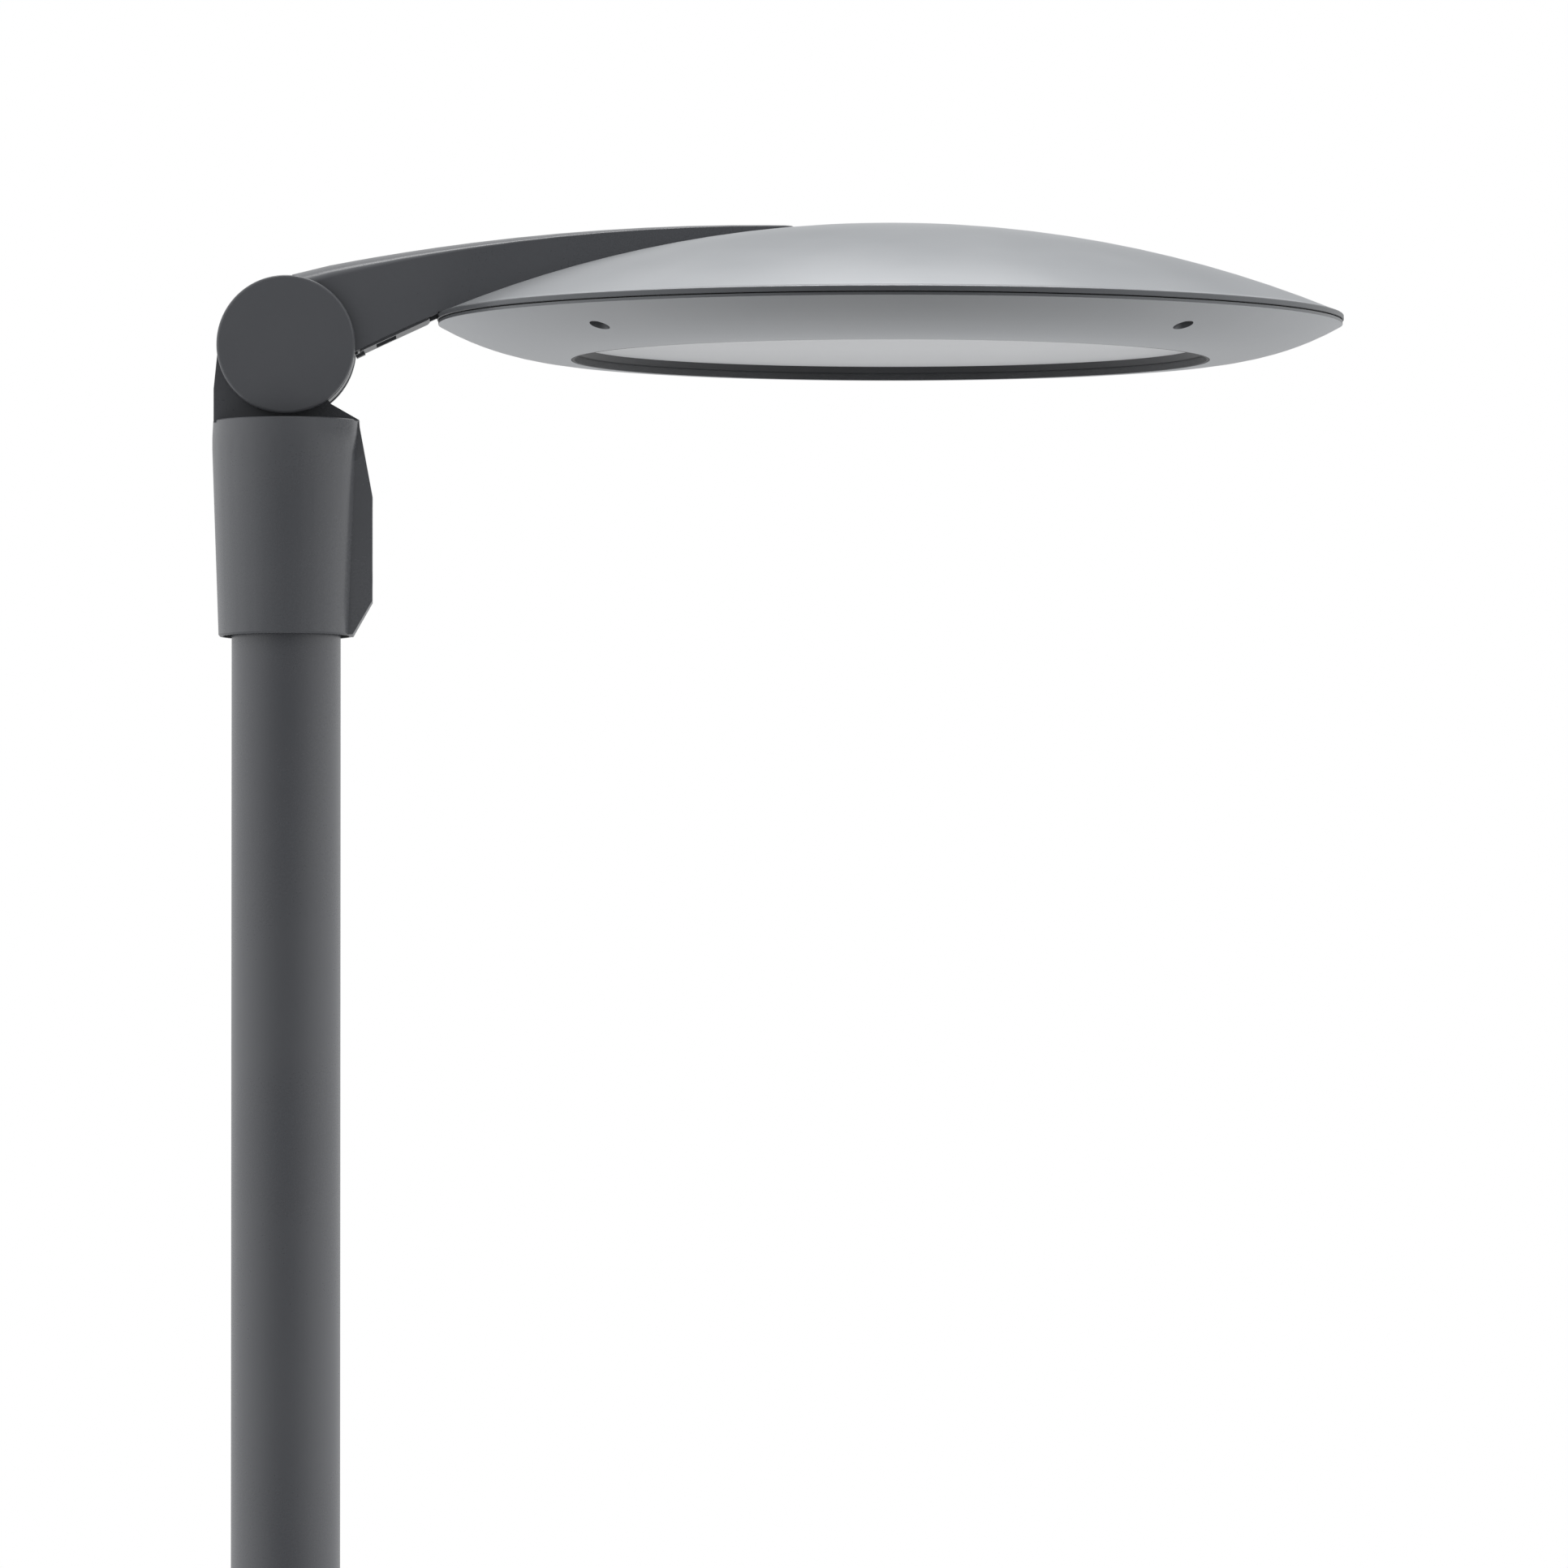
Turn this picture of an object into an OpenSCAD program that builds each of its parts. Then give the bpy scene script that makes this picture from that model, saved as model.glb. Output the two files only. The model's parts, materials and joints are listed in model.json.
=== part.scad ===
// Street lamp post: stepped tubular pole, tilting spigot joint, curved arm and round domed head.
// Millimetres, +Z up. The origin is on the pole's axis at the underside of the base plate.
// +X points along the arm to the head. -Y is the side with the pole's access door.

/* [Pole] */
// height of the upper tube's top end, inside the spigot sleeve
pole_h = 3920; // [2600:20:5500]
// outside diameter of the upper tube
pole_d = 76; // [60:1:90]
// wall of the upper tube
pole_wall = 3; // [2.5:0.1:4]
// outside diameter of the lower tube
lower_d = 114; // [108:1:150]
// height of the lower tube
lower_h = 1200; // [1100:20:1600]
// wall of the lower tube
lower_wall = 4; // [3:0.5:6]

/* [Base plate] */
// side of the square base plate
plate_w = 320; // [280:5:420]
// thickness of the base plate
plate_t = 20; // [15:1:25]
// distance between neighbouring anchor holes
bolt_spacing = 220; // [200:5:300]
// diameter of an anchor hole
bolt_hole_d = 22; // [18:1:26]

/* [Access door] */
// width of the door opening
door_w = 82; // [72:1:90]
// height of the door opening
door_h = 380; // [300:10:450]
// height of the opening's lower edge
door_z = 560; // [450:10:620]

/* [Joint] */
// radius of the round tilting joint
joint_r = 48.3; // [44:0.5:56]
// width of the sleeve's tongue inside the joint
tongue_w = 28; // [24:1:34]
// width of the arm
arm_w = 53; // [48:1:66]
// thickness of each round side cap
cap_t = 7; // [6:0.5:10]
// diameter of the pivot bolt
bolt_d = 14; // [12:1:16]

/* [Sleeve] */
// height of the sleeve casting below its shoulder
sleeve_h = 150.6; // [130:1:200]
// gap between the pole and the sleeve's mouth, filled by the liner
liner_gap = 6.2; // [5:0.1:9]
// wall of the sleeve at its mouth
mouth_wall = 3; // [2.5:0.1:5]
// how much fuller the sleeve is below its shoulder than at its mouth
sleeve_swell = 4.4; // [2:0.1:8]
// how far the screws' rib stands out past the sleeve
rib_out = 8.5; // [6:0.5:14]

/* [Arm] */
// gap between the joint's round and the head's rim
rim_gap = 56.7; // [48:0.1:130]
// height of the arm's level end over the dome
arm_over = 4.2; // [3:0.1:8]
// wall of the arm casting
arm_wall = 4.5; // [4:0.1:6]

/* [Head] */
// diameter of the head
head_d = 632; // [520:4:760]
// rise of the dome above its rim
dome_rise = 61.9; // [58:0.1:90]
// width of the frame from the glass opening to the head's edge
rim_w = 93.4; // [80:0.2:130]
// depth of the lower frame below the seam
frame_depth = 27; // [25:0.5:30]
// radius of the frame's curved underside in section
under_r = 192; // [185:1:240]
// distance of the frame screws in from the head's edge
screw_inset = 31; // [26:1:40]

/* [Hidden] */
$fn = 96;
FINE = 240;
GAP = 0.3;
SEAT = 0.1;
head_r = head_d / 2;
lower_r = lower_d / 2;
upper_r = pole_d / 2;
upper_z = lower_h - 180;
opening_r = head_r - rim_w;
screw_ring_r = head_r - screw_inset;
sleeve_mouth_r = upper_r + liner_gap + mouth_wall;
sleeve_r = sleeve_mouth_r + sleeve_swell;
wedge_x = sleeve_r + rib_out;
arm_gap = joint_r + rim_gap;
reach = arm_gap + head_r;
// the sleeve's roof stands over the pole's end, the joint's round clears the shoulder
shoulder_z = pole_h + 10.6;
joint_z = shoulder_z + joint_r + 3.1;
seam_z = joint_z + 18;
mouth_z = shoulder_z - sleeve_h;
rim_z = 5.1;
// the sphere meets the rim's inner edge at rim_z above the seam
rim_in_r = head_r - 3.4;
dome_r = (pow(rim_in_r, 2) + pow(dome_rise, 2)) / (2 * dome_rise);
dome_c = rim_z + dome_rise - dome_r;
dome_t = 3;
// arm's top arc: level over the dome, all but touching the joint's round
level_x = reach - 0.28 * head_r;
tip_x = reach - 0.212 * head_r;
level_z = dome_c + sqrt(pow(dome_r, 2) - pow(reach - level_x, 2)) + arm_over;
level_h = level_z + seam_z - joint_z;
arc_r = (pow(level_x, 2) + pow(level_h, 2) - pow(joint_r, 2)) / (2 * (level_h - joint_r));
arc_cz = joint_z + level_h - arc_r;
root_a = -7.4;
pin_r = 1.5;
pin_n = 2.6;
knuckle_r = 2.5;
tray_z = 9;
glass_t = 5;
glass_z = -18;
bolt_xs = [reach - 0.86 * head_r, reach - 0.58 * head_r];

// a tube standing at z
module tube(r, wall, h, z) {
    translate([0, 0, z]) difference() {
        cylinder(r = r, h = h);
        translate([0, 0, -1]) cylinder(r = r - wall, h = h + 2);
    }
}

// copies at the four diagonals of a circle of radius r
module diagonals(r) {
    for (a = [45 : 90 : 315]) rotate([0, 0, a]) translate([r, 0, 0]) children();
}

// moves to the head's own frame: its axis and its seam
module at_head() {
    translate([reach, 0, seam_z]) children();
}

// a cylinder lying along Y, centred on the joint's axis
module joint_cyl(r, w, y = 0) {
    translate([0, y, joint_z]) rotate([90, 0, 0]) cylinder(r = r, h = w, center = true);
}

// ---- base and pole ----

module base_plate() color([0.27, 0.28, 0.30]) {
    corner = 20;
    difference() {
        union() {
            for (a = [0, 90]) rotate([0, 0, a])
                translate([-plate_w / 2, -plate_w / 2 + corner, 0])
                    cube([plate_w, plate_w - 2 * corner, plate_t]);
            for (x = [-1, 1], y = [-1, 1])
                translate([x * (plate_w / 2 - corner), y * (plate_w / 2 - corner), 0])
                    cylinder(r = corner, h = plate_t);
        }
        translate([0, 0, -1]) cylinder(r = lower_r - lower_wall - 3, h = plate_t + 2);
        for (x = [-1, 1], y = [-1, 1])
            translate([x * bolt_spacing / 2, y * bolt_spacing / 2, -1])
                cylinder(d = bolt_hole_d, h = plate_t + 2);
    }
}

module base_gussets() color([0.27, 0.28, 0.30]) {
    foot = plate_w / 2 - lower_r - 14;
    rise = 120;
    thick = 8;
    for (a = [0 : 90 : 270]) rotate([0, 0, a]) difference() {
        translate([0, thick / 2, plate_t]) rotate([90, 0, 0]) linear_extrude(height = thick)
            polygon([[lower_r - 2, 0], [lower_r + foot, 0], [lower_r + foot, 12],
                [lower_r + 14, rise], [lower_r - 2, rise]]);
        translate([0, 0, plate_t - 1]) cylinder(r = lower_r + SEAT, h = rise + 2);
    }
}

// the door's opening as a solid cut through the front wall
module door_hole(grow, deep) {
    w = door_w + 2 * grow;
    h = door_h + 2 * grow;
    r = 20 + grow;
    translate([0, -lower_r + deep, door_z - grow]) rotate([90, 0, 0]) {
        translate([-w / 2, r, 0]) cube([w, h - 2 * r, deep + 20]);
        translate([-w / 2 + r, 0, 0]) cube([w - 2 * r, h, deep + 20]);
        for (x = [-1, 1], z = [r, h - r])
            translate([x * (w / 2 - r), z, 0]) cylinder(r = r, h = deep + 20);
    }
}

module lower_tube() color([0.27, 0.28, 0.30]) difference() {
    tube(lower_r, lower_wall, lower_h - plate_t, plate_t);
    door_hole(0, lower_r);
}

module shoulder_collar() color([0.27, 0.28, 0.30]) translate([0, 0, lower_h])
    rotate_extrude($fn = FINE) polygon([[upper_r + SEAT, 0], [lower_r, 0], [lower_r, 6],
        [upper_r + 5, 46], [upper_r + 2, 50], [upper_r + SEAT, 50]]);

module centring_ring() color([0.45, 0.46, 0.48])
    tube(lower_r - lower_wall - SEAT, lower_r - lower_wall - upper_r - 2 * SEAT, 12, upper_z);

module upper_tube() color([0.27, 0.28, 0.30])
    tube(upper_r, pole_wall, pole_h - upper_z, upper_z);

module door_frame() color([0.27, 0.28, 0.30]) {
    ledge = 9;
    inner = lower_r - lower_wall - SEAT;
    difference() {
        intersection() {
            tube(inner, 3, door_h + 60, door_z - 30);
            door_hole(8, lower_r);
        }
        door_hole(-ledge, lower_r);
    }
}

module access_door() color([0.27, 0.28, 0.30]) {
    difference() {
        union() {
            intersection() {
                tube(lower_r, lower_wall - GAP, door_h, door_z);
                door_hole(-1.5, lower_r);
            }
            // lock boss
            translate([0, -lower_r + 14, door_z + door_h - 60]) rotate([90, 0, 0])
                cylinder(r = 13, h = 12);
        }
        translate([0, 0, door_z + door_h - 60]) rotate([90, 0, 0])
            cylinder(r = 9.05, h = lower_r + 5);
    }
}

module door_lock() color([0.6, 0.6, 0.62]) translate([0, -lower_r, door_z + door_h - 60])
    rotate([90, 0, 0]) {
        difference() {
            translate([0, 0, -28]) cylinder(r = 9, h = 29);
            translate([0, 0, -5]) cylinder(r = 5.5, h = 8, $fn = 3);
        }
        // tongue, hanging clear of the frame until turned
        translate([-7, -35, -27.5]) cube([14, 35, 3]);
    }

module fuse_board() color([0.55, 0.56, 0.58]) {
    w = 50;
    y = lower_r - lower_wall - 14;
    translate([-w / 2, y, door_z + 20]) cube([w, 3, door_h - 60]);
    // feet welded to the tube's back wall
    for (z = [door_z + 60, door_z + door_h - 90]) difference() {
        translate([-10, y + 3, z]) cube([20, 14, 12]);
        difference() {
            translate([0, 0, z - 1]) cylinder(r = lower_r + 10, h = 14);
            translate([0, 0, z - 2]) cylinder(r = lower_r - lower_wall - SEAT, h = 16);
        }
    }
}

module fuse_box() color([0.75, 0.76, 0.77]) {
    y = lower_r - lower_wall - 14;
    translate([-24, y - 40, door_z + 130]) difference() {
        cube([48, 40, 150]);
        translate([3, -1, 118]) cube([42, 6, 26]);
        for (x = [12, 24, 36]) translate([x, 20, -1]) cylinder(r = 5, h = 16);
    }
    translate([-16, y - 46, door_z + 160]) cube([32, 6, 60]);
}

module earth_stud() color([0.72, 0.6, 0.3]) {
    y = lower_r - lower_wall - 14;
    translate([0, y, door_z + 60]) rotate([90, 0, 0]) {
        cylinder(r = 5, h = 30);
        cylinder(r = 9.5, h = 8, $fn = 6);
        translate([0, 0, 12]) cylinder(r = 9.5, h = 8, $fn = 6);
    }
}

// ---- sleeve ----

module spigot_sleeve() color([0.27, 0.28, 0.30]) {
    root_w = 18.5;
    nose_w = 15;
    top_r = sleeve_r - 0.6;
    drop = shoulder_z - mouth_z;
    left_x = -sleeve_r + 1.1;
    difference() {
        union() {
            translate([0, 0, mouth_z]) rotate_extrude($fn = FINE) polygon([[0, 0],
                [sleeve_mouth_r - 1, 0], [sleeve_mouth_r, 1.2], [sleeve_r, drop - 20],
                [sleeve_r, drop - 12], [top_r, drop - 0.8], [top_r - 1, drop], [0, drop]]);
            // rib that carries the clamp screws
            intersection() {
                translate([0, 0, mouth_z]) linear_extrude(height = drop)
                    polygon([[0, -root_w - 8], [sleeve_mouth_r - 1, -root_w], [wedge_x, -nose_w],
                        [wedge_x, nose_w], [sleeve_mouth_r - 1, root_w], [0, root_w + 8]]);
                translate([0, 0, mouth_z]) rotate([90, 0, 90]) linear_extrude(height = wedge_x)
                    polygon([[-root_w - 9, 0], [root_w + 9, 0], [root_w + 9, drop - 60],
                        [9, drop], [-9, drop], [-root_w - 9, drop - 60]]);
                translate([0, 60, mouth_z]) rotate([90, 0, 0]) linear_extrude(height = 120)
                    polygon([[0, 0.5], [sleeve_mouth_r - 0.6, 0.5], [wedge_x, 24],
                        [wedge_x, drop - 53], [top_r - 0.5, drop - 1], [0, drop - 1]]);
            }
            // neck and tongue
            joint_cyl(joint_r - GAP, tongue_w);
            translate([0, tongue_w / 2, 0]) rotate([90, 0, 0]) linear_extrude(height = tongue_w)
                polygon([[left_x, shoulder_z - 2], [left_x, joint_z - 30],
                    [-joint_r + 1.5, joint_z + 6], [0, joint_z],
                    [joint_r * 0.65, joint_z - joint_r * 0.84],
                    [top_r, shoulder_z - 0.4], [top_r - 4, shoulder_z - 2]]);
        }
        // mouth, fit on the liner and roof over the pole's end
        translate([0, 0, mouth_z - 1]) cylinder(r = sleeve_mouth_r - mouth_wall, h = pole_h - mouth_z + 2);
        // cable way up to the joint
        translate([0, 0, pole_h]) cylinder(r = 9, h = joint_z - pole_h);
        // pivot bore and the discs' seats
        joint_cyl(bolt_d / 2 + 0.05, tongue_w + 2);
        for (s = [-1, 1]) joint_cyl(30, 4, s * tongue_w / 2);
        for (z = [40, 95]) translate([upper_r, 0, mouth_z + z]) rotate([0, 90, 0])
            cylinder(r = 5, h = 40);
    }
}

module spigot_liner() color([0.12, 0.12, 0.13]) {
    in_r = upper_r + GAP;
    out_r = sleeve_mouth_r - mouth_wall - SEAT;
    translate([0, 0, mouth_z + 14]) difference() {
        cylinder(r = out_r, h = pole_h - mouth_z - 16);
        translate([0, 0, -1]) cylinder(r = in_r, h = pole_h - mouth_z);
        for (z = [26, 81]) translate([upper_r - 2, 0, z]) rotate([0, 90, 0])
            cylinder(r = 5, h = 20);
    }
}

module clamp_screws() color([0.6, 0.6, 0.62])
    for (z = [40, 95]) translate([upper_r + GAP, 0, mouth_z + z]) rotate([0, 90, 0])
        difference() {
            cylinder(r = 5, h = wedge_x - upper_r - 4);
            translate([0, 0, wedge_x - upper_r - 9]) cylinder(r = 2.9, h = 8, $fn = 6);
        }

module friction_discs() color([0.2, 0.2, 0.21])
    for (s = [-1, 1]) difference() {
        joint_cyl(29.7, 2, s * (tongue_w / 2 - 1));
        joint_cyl(bolt_d / 2 + 0.3, 8, s * (tongue_w / 2 - 1));
    }

// ---- arm ----

// the arm's ring about its top arc, with rounded upper edges; inset shrinks it all round
module arm_ring(inset) {
    edge = 7;
    half = arm_w / 2 - inset;
    out = arc_r - inset;
    deep = 170;
    step = 22.5;
    translate([level_x, 0, arc_cz]) rotate([90, 0, 0]) rotate([0, 0, 88])
        rotate_extrude(angle = 16, $fn = 1440) polygon(concat(
            [[out - deep, half], [out - deep, -half]],
            [for (a = [-90 : step : 0])
                [out - edge + edge * cos(a), -half + edge + edge * sin(a)]],
            [for (a = [0 : step : 90])
                [out - edge + edge * cos(a), half - edge + edge * sin(a)]]));
}

// the arm's outline seen from the side, as a slab of width w
module arm_side(w, back) {
    root_x = joint_r * cos(root_a);
    root_z = joint_z + joint_r * sin(root_a);
    translate([0, w / 2, 0]) rotate([90, 0, 0]) linear_extrude(height = w)
        polygon([[back, joint_z + 10], [back, joint_z + 90], [tip_x - 12, seam_z + 120],
            [tip_x, seam_z + 120], [tip_x, seam_z + 10], [arm_gap + 14, seam_z + 3.4],
            [arm_gap + 0.7, seam_z + 2.5], [root_x, root_z], [0, joint_z]]);
}

module arm_casting() color([0.27, 0.28, 0.30]) {
    cheek = (arm_w - tongue_w) / 2 - GAP;
    cheek_y = tongue_w / 2 + GAP + cheek / 2;
    inner = arm_wall;
    difference() {
        union() {
            intersection() {
                arm_ring(0);
                arm_side(arm_w, -6);
            }
            for (s = [-1, 1]) joint_cyl(joint_r, cheek, s * cheek_y);
        }
        // room for the tongue to swing in
        joint_cyl(joint_r + 1.5, tongue_w + 2 * GAP);
        translate([-80, -tongue_w / 2 - GAP, joint_z]) cube([84, tongue_w + 2 * GAP, 80]);
        // seat on the dome and on the head's rim
        translate([reach, 0, seam_z + dome_c]) sphere(r = dome_r + 0.3, $fn = 480);
        translate([reach, 0, seam_z - 40]) cylinder(r = head_r + 0.3, h = 40 + rim_z, $fn = FINE);
        // hollow
        intersection() {
            arm_ring(inner);
            translate([joint_r + 10, -50, seam_z - 60])
                cube([level_x - joint_r - 58, 100, 200]);
            difference() {
                translate([0, 0, -0.01]) arm_side(100, 20);
                for (x = bolt_xs, y = [-1, 1])
                    translate([x, y * (arm_w / 2 - 10), seam_z - 40]) cylinder(r = 9, h = 180);
            }
        }
        // holes for the arm's bolts
        for (x = bolt_xs, y = [-1, 1])
            translate([x, y * (arm_w / 2 - 10), seam_z - 40])
                cylinder(r = 4, h = 40 + dome_z(x) + 9);
        // pivot bore, head and nut seats
        joint_cyl(bolt_d / 2 + 0.05, arm_w + 2);
        for (s = [-1, 1]) joint_cyl(16, 14, s * arm_w / 2);
        // seat of the underside cover
        cover_slab(0.4, 2.6);
        for (s = [-1, 1]) cover_pin_at(s, pin_r + 0.05, 5);
    }
}

// height of the dome's outside above the seam, at a distance x from the pole's axis
function dome_z(x) = dome_c + sqrt(pow(dome_r, 2) - pow(reach - x, 2));

// the frame of the arm's sloping underside: origin at the joint's end, X up the slope
function root_x() = joint_r * cos(root_a);
function root_z() = joint_z + joint_r * sin(root_a);
function slope_l() = sqrt(pow(arm_gap + 0.7 - root_x(), 2) + pow(seam_z + 2.5 - root_z(), 2));
function slope_a() = atan2(seam_z + 2.5 - root_z(), arm_gap + 0.7 - root_x());

function pin_s() = slope_l() - 8;

module on_slope() {
    translate([root_x(), 0, root_z()]) rotate([0, -slope_a(), 0]) children();
}

// the cover's slab, grown by g, with its top t above the slope
module cover_slab(g, t) {
    half = arm_w / 2 - 3.2;
    on_slope() translate([5 - g, -half - g, -1])
        cube([pin_s() + (g > 0 ? knuckle_r : 0) - 5 + 2 * g, 2 * (half + g), t + 1]);
}

module cover_pin_at(s, r, l) {
    half = arm_w / 2 - 3.2;
    on_slope() translate([pin_s(), s * (half + l / 2 - 2.6), pin_n]) rotate([90, 0, 0])
        cylinder(r = r, h = l, center = true);
}

module arm_cover() color([0.31, 0.32, 0.34]) {
    half = arm_w / 2 - 3.2;
    difference() {
        union() {
            intersection() {
                cover_slab(0, 2.2);
                on_slope() translate([0, -50, 0]) cube([200, 100, 20]);
            }
            // barrel round the pins
            on_slope() translate([pin_s(), 0, pin_n])
                rotate([90, 0, 0]) cylinder(r = knuckle_r, h = 2 * half - 3.4, center = true);
            // latch tab at the joint's end
            on_slope() translate([0.4, -5, -2.2]) cube([6.6, 10, 2.2]);
        }
        // finger notch
        on_slope() translate([16.5, -half + 6, -1]) cube([15, 2 * half - 12, 6]);
        for (s = [-1, 1]) cover_pin_at(s, pin_r + 0.05, 16);
    }
    // floor of the notch
    on_slope() translate([16, -half + 5, 2.2]) cube([16, 2 * half - 10, 1.6]);
}

module cover_pins() color([0.6, 0.6, 0.62])
    for (s = [-1, 1]) intersection() {
        cover_pin_at(s, pin_r, 9);
        arm_side(arm_w - 3, 20);
    }

module arm_gasket() color([0.08, 0.08, 0.08]) intersection() {
    difference() {
        translate([bolt_xs[0] - 14, -arm_w / 2 + arm_wall + 1, seam_z])
            cube([bolt_xs[1] - bolt_xs[0] + 28, arm_w - 2 * arm_wall - 2, 120]);
        translate([reach, 0, seam_z + dome_c]) sphere(r = dome_r + 0.2, $fn = 480);
        for (x = bolt_xs, y = [-1, 1]) translate([x, y * (arm_w / 2 - 10), seam_z])
            cylinder(r = 9.3, h = 180);
        translate([cable_x(), 0, seam_z]) cylinder(r = 11, h = 180);
    }
    translate([reach, 0, seam_z + dome_c]) sphere(r = dome_r + 2.4, $fn = 480);
}

function cable_x() = bolt_xs[0] + 34;

module pivot_bolt() color([0.6, 0.6, 0.62]) {
    joint_cyl(bolt_d / 2, arm_w - 14);
    joint_cyl(12, 6, -arm_w / 2 + 4);
    joint_cyl(bolt_d / 2, 3, arm_w / 2 - 5.5);
}

module pivot_nut() color([0.6, 0.6, 0.62])
    translate([0, arm_w / 2 - 1, joint_z]) rotate([90, 0, 0]) difference() {
        union() {
            cylinder(r = 11.5, h = 5, $fn = 6);
            translate([0, 0, 4.6]) cylinder(r = 13, h = 1.4);
        }
        translate([0, 0, -1]) cylinder(r = bolt_d / 2 + 0.05, h = 9);
    }

module joint_cap(s) {
    bevel = 1.2;
    translate([0, s * arm_w / 2, joint_z]) rotate([-90 * s, 0, 0]) {
        difference() {
            union() {
                cylinder(r = joint_r, h = cap_t - bevel, $fn = FINE);
                translate([0, 0, cap_t - bevel]) intersection() {
                    cylinder(r = joint_r, h = bevel, $fn = FINE);
                    rotate_extrude($fn = FINE)
                        polygon([[0, -1], [joint_r + 1, -1], [joint_r, 0],
                            [joint_r - bevel, bevel], [0, bevel]]);
                }
            }
            translate([0, 0, -1]) cylinder(r = 17, h = cap_t - 2);
            // groove of the seal
            difference() {
                translate([0, 0, -1]) cylinder(r = joint_r - 5, h = 3);
                translate([0, 0, -2]) cylinder(r = joint_r - 9, h = 5);
            }
        }
    }
}

module joint_cap_front() color([0.27, 0.28, 0.30]) joint_cap(-1);
module joint_cap_rear() color([0.27, 0.28, 0.30]) joint_cap(1);

module cap_seals() color([0.08, 0.08, 0.08])
    for (s = [-1, 1]) difference() {
        joint_cyl(joint_r - 5.2, 1.8, s * (arm_w / 2 + 0.9));
        joint_cyl(joint_r - 8.8, 5, s * (arm_w / 2 + 0.9));
    }

// ---- head ----

module top_cover() color([0.80, 0.81, 0.82]) {
    post_r = 6;
    at_head() difference() {
        union() {
            difference() {
                intersection() {
                    translate([0, 0, dome_c]) sphere(r = dome_r, $fn = 480);
                    translate([0, 0, 2.4]) cylinder(r = rim_in_r - 0.5, h = 100, $fn = FINE);
                }
                translate([0, 0, dome_c]) sphere(r = dome_r - dome_t, $fn = 480);
            }
            rotate_extrude($fn = FINE) polygon([[rim_in_r - 6, 0.4], [head_r - 0.4, 0.4],
                [head_r, 0.8], [head_r, 3.4], [head_r - 0.3, 4], [head_r - 1, 4.4],
                [rim_in_r, rim_z], [rim_in_r - 3, rim_z + 0.6], [rim_in_r - 6, rim_z]]);
            // inner bosses, trimmed by the dome
            intersection() {
                translate([0, 0, dome_c]) sphere(r = dome_r - 1, $fn = 480);
                union() {
                    diagonals(screw_ring_r) translate([0, 0, 0.4]) cylinder(r = 9, h = 40);
                    for (a = [0 : 90 : 270]) rotate([0, 0, a + 22])
                        translate([head_r * 0.66, 0, tray_z + 2]) cylinder(r = post_r, h = 90);
                    for (x = bolt_xs, y = [-1, 1])
                        translate([x - reach, y * (arm_w / 2 - 10), dome_z(x) - 12])
                            cylinder(r = 9, h = 60);
                    translate([cable_x() - reach, 0, dome_z(cable_x()) - 12])
                        cylinder(r = 13, h = 60);
                }
            }
        }
        diagonals(screw_ring_r) translate([0, 0, -1]) cylinder(r = 3, h = 12 - 1.6);
        for (a = [0 : 90 : 270]) rotate([0, 0, a + 22])
            translate([head_r * 0.66, 0, tray_z]) cylinder(r = 2, h = 12);
        for (x = bolt_xs, y = [-1, 1])
            translate([x - reach, y * (arm_w / 2 - 10), 0]) cylinder(r = 4.5, h = 120);
        translate([cable_x() - reach, 0, 0]) cylinder(r = 8.05, h = 120);
    }
}

module arm_bolts() color([0.6, 0.6, 0.62])
    for (x = bolt_xs, y = [-1, 1]) translate([x, y * (arm_w / 2 - 10), seam_z + dome_z(x) - 12]) {
        cylinder(r = 4, h = 20);
        translate([0, 0, -6]) difference() {
            cylinder(r = 6.5, h = 6);
            translate([0, 0, -1]) cylinder(r = 3.4, h = 4.5, $fn = 6);
        }
    }

module cable_gland() color([0.1, 0.1, 0.1])
    translate([cable_x(), 0, seam_z + dome_z(cable_x())]) difference() {
        union() {
            translate([0, 0, -15]) cylinder(r = 8, h = 24);
            translate([0, 0, -17]) cylinder(r = 12, h = 5, $fn = 6);
            translate([0, 0, 4.5]) cylinder(r = 10, h = 7, $fn = 6);
        }
        translate([0, 0, -20]) cylinder(r = 5, h = 50);
    }

module gear_tray() color([0.7, 0.71, 0.72]) at_head() translate([0, 0, tray_z]) difference() {
    cylinder(r = head_r * 0.72, h = 2, $fn = FINE);
    for (a = [0 : 90 : 270]) rotate([0, 0, a + 22]) translate([head_r * 0.66, 0, -1])
        cylinder(r = 2.1, h = 4);
    translate([-head_r * 0.5, 0, -1]) cylinder(r = 12, h = 4);
}

module tray_screws() color([0.6, 0.6, 0.62])
    at_head() for (a = [0 : 90 : 270]) rotate([0, 0, a + 22])
        translate([head_r * 0.66, 0, tray_z - 3]) difference() {
            union() {
                translate([0, 0, 3]) cylinder(r = 1.95, h = 10);
                cylinder(r = 4, h = 3);
            }
            translate([0, 0, -1]) cylinder(r = 1.5, h = 2.4, $fn = 6);
        }

module led_driver() color([0.82, 0.82, 0.80]) at_head() translate([-30, -38, tray_z + 2])
    difference() {
        union() {
            cube([150, 76, 36]);
            for (x = [-12, 150]) translate([x, 0, 0]) cube([12, 76, 3]);
        }
        for (x = [-6, 156], y = [12, 64]) translate([x, y, -1]) cylinder(r = 2.4, h = 6);
    }

module surge_protector() color([0.2, 0.2, 0.22]) at_head() translate([-20, 70, tray_z + 2])
    difference() {
        cube([70, 42, 28]);
        translate([8, -1, 18]) cube([54, 5, 12]);
    }

module terminal_block() color([0.9, 0.9, 0.86]) at_head() translate([-110, -30, tray_z + 2])
    difference() {
        cube([24, 60, 18]);
        for (y = [10, 23, 36, 49]) {
            translate([12, y, 8]) cylinder(r = 3, h = 12);
            translate([-1, y - 3, 4]) cube([9, 6, 7]);
        }
    }

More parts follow.
